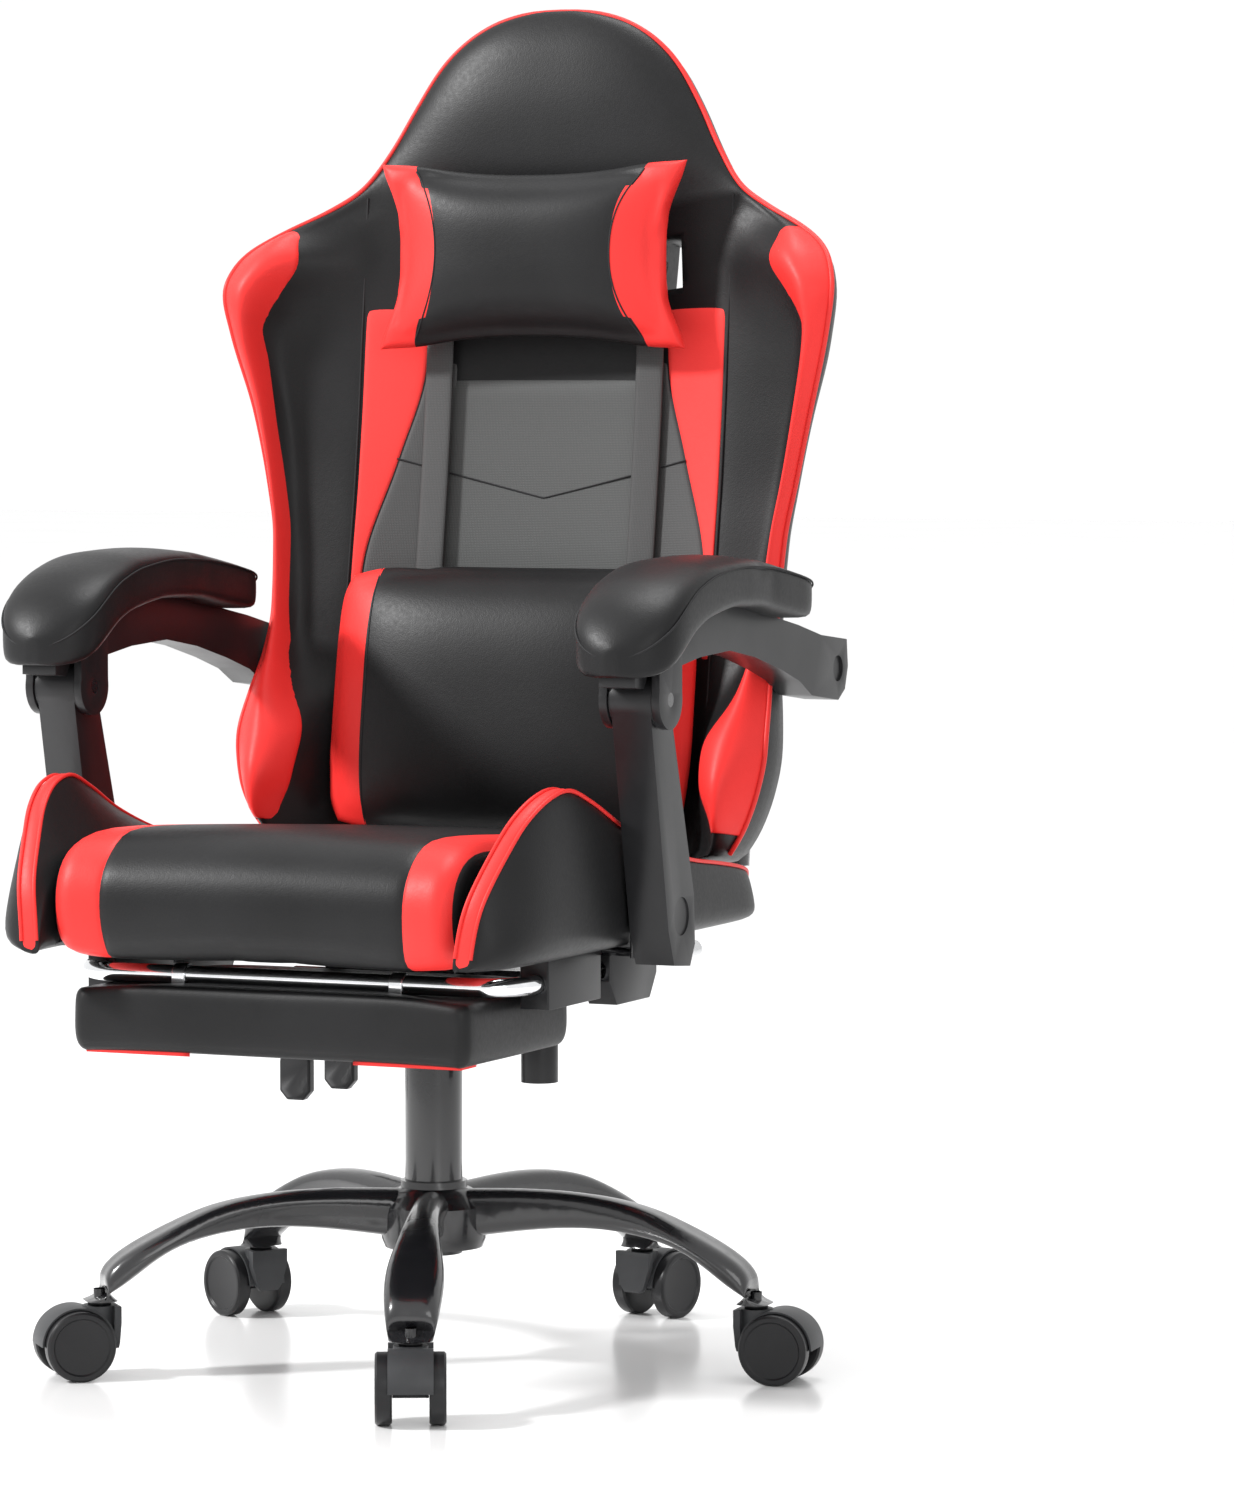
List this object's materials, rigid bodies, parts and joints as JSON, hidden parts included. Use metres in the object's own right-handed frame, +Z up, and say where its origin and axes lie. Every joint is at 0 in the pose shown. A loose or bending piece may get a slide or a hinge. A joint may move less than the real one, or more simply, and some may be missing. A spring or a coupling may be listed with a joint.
{
  "type": "gaming chair",
  "caption": "Black and red racing-style gaming chair with linked armrests, head and lumbar pillows and a pull-out footrest.",
  "frame": {"origin": "on the floor, on the gas lift's axis", "axes": "+Z up, -Y forward where the sitter faces, +X to the sitter's left"},
  "size_m": [0.6663, 0.6971, 1.1861],
  "materials": {
    "painted_steel": "gloss black powder coat",
    "bright_steel": "chrome",
    "black_plastic": "satin moulded",
    "caster_plastic": "satin moulded",
    "board": "raw plywood",
    "black_leather": "soft coated upholstery",
    "red_leather": "soft coated upholstery",
    "grey_leather": "fine-grained coated upholstery"
  },
  "bodies": {
    "base": {"star_base": "painted_steel", "caster_stems": "bright_steel", "lift_outer_tube": "painted_steel", "lift_guide_bush": "black_plastic"},
    "caster_1": {"caster_fork_1": "caster_plastic", "caster_axle_1": "bright_steel"},
    "wheel_1_left": {"caster_wheel_1_left": "caster_plastic"},
    "wheel_1_right": {"caster_wheel_1_right": "caster_plastic"},
    "caster_2": {"caster_fork_2": "caster_plastic", "caster_axle_2": "bright_steel"},
    "wheel_2_left": {"caster_wheel_2_left": "caster_plastic"},
    "wheel_2_right": {"caster_wheel_2_right": "caster_plastic"},
    "caster_3": {"caster_fork_3": "caster_plastic", "caster_axle_3": "bright_steel"},
    "wheel_3_left": {"caster_wheel_3_left": "caster_plastic"},
    "wheel_3_right": {"caster_wheel_3_right": "caster_plastic"},
    "caster_4": {"caster_fork_4": "caster_plastic", "caster_axle_4": "bright_steel"},
    "wheel_4_left": {"caster_wheel_4_left": "caster_plastic"},
    "wheel_4_right": {"caster_wheel_4_right": "caster_plastic"},
    "caster_5": {"caster_fork_5": "caster_plastic", "caster_axle_5": "bright_steel"},
    "wheel_5_left": {"caster_wheel_5_left": "caster_plastic"},
    "wheel_5_right": {"caster_wheel_5_right": "caster_plastic"},
    "lift_rod": {"lift_piston_rod": "bright_steel"},
    "lift_column": {"lift_gas_cylinder": "bright_steel", "tilt_housing": "painted_steel", "tilt_pivot_pin": "painted_steel"},
    "height_lever": {"height_lever": "painted_steel", "height_lever_handle": "black_plastic"},
    "tilt_lever": {"tilt_lever": "painted_steel", "tilt_lever_handle": "black_plastic"},
    "tension_knob": {"tension_knob": "black_plastic"},
    "seat": {"seat_plate": "painted_steel", "seat_frame": "painted_steel", "frame_pivot_pins": "bright_steel", "seat_cushion": "black_leather", "seat_bolster_left": "black_leather", "seat_bolster_right": "black_leather", "footrest_guides": "black_plastic"},
    "footrest_slide": {"footrest_tube": "bright_steel"},
    "footrest_pad": {"footrest_board": "board", "footrest_pad": "black_leather", "footrest_hinge_clamps": "painted_steel"},
    "backrest": {"back_frame": "painted_steel", "back_cushion": "black_leather", "back_cover": "black_leather", "back_wing_left": "black_leather", "back_wing_right": "black_leather", "head_pillow": "black_leather", "lumbar_pillow": "black_leather", "arm_rear_bolts": "bright_steel"},
    "arm_post_left": {"arm_post_left": "black_plastic"},
    "armrest_left": {"arm_bracket_left": "black_plastic", "arm_elbow_bolt_left": "bright_steel", "arm_pad_left": "black_leather"},
    "arm_post_right": {"arm_post_right": "black_plastic"},
    "armrest_right": {"arm_bracket_right": "black_plastic", "arm_elbow_bolt_right": "bright_steel", "arm_pad_right": "black_leather"}
  },
  "joints": [
    {"name": "caster_1_swivel", "type": "hinge", "parent": "base", "child": "caster_1", "pos_m": [0.10925, -0.2751, 0.05], "axis": [0, 0, 1], "continuous": true},
    {"name": "wheel_1_left_roll", "type": "hinge", "parent": "caster_1", "child": "wheel_1_left", "pos_m": [0.11869, -0.29497, 0.03], "axis": [0.9033, 0.4289, 0], "continuous": true},
    {"name": "wheel_1_right_roll", "type": "hinge", "parent": "caster_1", "child": "wheel_1_right", "pos_m": [0.11869, -0.29497, 0.03], "axis": [0.9033, 0.4289, 0], "continuous": true},
    {"name": "caster_2_swivel", "type": "hinge", "parent": "base", "child": "caster_2", "pos_m": [0.2954, 0.01889, 0.05], "axis": [0, 0, 1], "continuous": true},
    {"name": "wheel_2_left_roll", "type": "hinge", "parent": "caster_2", "child": "wheel_2_left", "pos_m": [0.3173, 0.02097, 0.03], "axis": [-0.0941, 0.9956, 0], "continuous": true},
    {"name": "wheel_2_right_roll", "type": "hinge", "parent": "caster_2", "child": "wheel_2_right", "pos_m": [0.3173, 0.02097, 0.03], "axis": [-0.0941, 0.9956, 0], "continuous": true},
    {"name": "caster_3_swivel", "type": "hinge", "parent": "base", "child": "caster_3", "pos_m": [0.07331, 0.28678, 0.05], "axis": [0, 0, 1], "continuous": true},
    {"name": "wheel_3_left_roll", "type": "hinge", "parent": "caster_3", "child": "wheel_3_left", "pos_m": [0.07863, 0.30812, 0.03], "axis": [-0.9703, 0.2419, 0], "continuous": true},
    {"name": "wheel_3_right_roll", "type": "hinge", "parent": "caster_3", "child": "wheel_3_right", "pos_m": [0.07863, 0.30812, 0.03], "axis": [-0.9703, 0.2419, 0], "continuous": true},
    {"name": "caster_4_swivel", "type": "hinge", "parent": "base", "child": "caster_4", "pos_m": [-0.25009, 0.15834, 0.05], "axis": [0, 0, 1], "continuous": true},
    {"name": "wheel_4_left_roll", "type": "hinge", "parent": "caster_4", "child": "wheel_4_left", "pos_m": [-0.26933, 0.16901, 0.03], "axis": [-0.4848, -0.8746, 0], "continuous": true},
    {"name": "wheel_4_right_roll", "type": "hinge", "parent": "caster_4", "child": "wheel_4_right", "pos_m": [-0.26933, 0.16901, 0.03], "axis": [-0.4848, -0.8746, 0], "continuous": true},
    {"name": "caster_5_swivel", "type": "hinge", "parent": "base", "child": "caster_5", "pos_m": [-0.22787, -0.18892, 0.05], "axis": [0, 0, 1], "continuous": true},
    {"name": "wheel_5_left_roll", "type": "hinge", "parent": "caster_5", "child": "wheel_5_left", "pos_m": [-0.24412, -0.20375, 0.03], "axis": [0.6743, -0.7385, 0], "continuous": true},
    {"name": "wheel_5_right_roll", "type": "hinge", "parent": "caster_5", "child": "wheel_5_right", "pos_m": [-0.24412, -0.20375, 0.03], "axis": [0.6743, -0.7385, 0], "continuous": true},
    {"name": "chair_swivel", "type": "hinge", "parent": "base", "child": "lift_rod", "pos_m": [0, 0, 0.1], "axis": [0, 0, 1], "continuous": true},
    {"name": "height_slide", "type": "slide", "parent": "lift_rod", "child": "lift_column", "axis": [0, 0, 1], "range_m": [0, 0.08]},
    {"name": "height_lever_lift", "type": "hinge", "parent": "lift_column", "child": "height_lever", "pos_m": [-0.1, 0.03, 0.333], "axis": [1, 0, 0], "range_deg": [0, 10], "stiffness_Nm_per_rad": 1.5},
    {"name": "tilt_lever_lift", "type": "hinge", "parent": "lift_column", "child": "tilt_lever", "pos_m": [-0.1, 0.098, 0.333], "axis": [1, 0, 0], "range_deg": [0, 10], "stiffness_Nm_per_rad": 1.5},
    {"name": "tension_knob_turn", "type": "hinge", "parent": "lift_column", "child": "tension_knob", "pos_m": [0.101, 0, 0.26], "axis": [0, 0, 1], "range_deg": [0, 720]},
    {"name": "seat_rock", "type": "hinge", "parent": "lift_column", "child": "seat", "pos_m": [0, -0.06, 0.348], "axis": [-1, 0, 0], "range_deg": [0, 7], "stiffness_Nm_per_rad": 280, "springref_deg": -14.32},
    {"name": "footrest_pull", "type": "slide", "parent": "seat", "child": "footrest_slide", "axis": [0, -1, 0], "range_m": [0, 0.22]},
    {"name": "footrest_flip", "type": "hinge", "parent": "footrest_slide", "child": "footrest_pad", "pos_m": [0, -0.275, 0.359], "axis": [-1, 0, 0], "range_deg": [0, 180]},
    {"name": "recline", "type": "hinge", "parent": "seat", "child": "backrest", "pos_m": [0, 0.165, 0.405], "axis": [-1, 0, 0], "range_deg": [0, 40]},
    {"name": "arm_post_left_swing", "type": "hinge", "parent": "seat", "child": "arm_post_left", "pos_m": [0.268, -0.122, 0.409], "axis": [-1, 0, 0], "range_deg": [0, 37]},
    {"name": "armrest_left_elbow", "type": "hinge", "parent": "arm_post_left", "child": "armrest_left", "pos_m": [0.268, -0.167, 0.591], "axis": [-1, 0, 0], "range_deg": [-25.4, 0]},
    {"name": "arm_post_right_swing", "type": "hinge", "parent": "seat", "child": "arm_post_right", "pos_m": [-0.268, -0.122, 0.409], "axis": [-1, 0, 0], "range_deg": [0, 37]},
    {"name": "armrest_right_elbow", "type": "hinge", "parent": "arm_post_right", "child": "armrest_right", "pos_m": [-0.268, -0.167, 0.591], "axis": [-1, 0, 0], "range_deg": [-25.4, 0]}
  ],
  "couplings": [
    {"joint": "footrest_flip", "follows": "footrest_pull", "rad_per_m": 14.28},
    {"joint": "arm_post_left_swing", "follows": "recline", "ratio": 0.9238},
    {"joint": "armrest_left_elbow", "follows": "recline", "ratio": -0.6337},
    {"joint": "arm_post_right_swing", "follows": "recline", "ratio": 0.9238},
    {"joint": "armrest_right_elbow", "follows": "recline", "ratio": -0.6337}
  ]
}
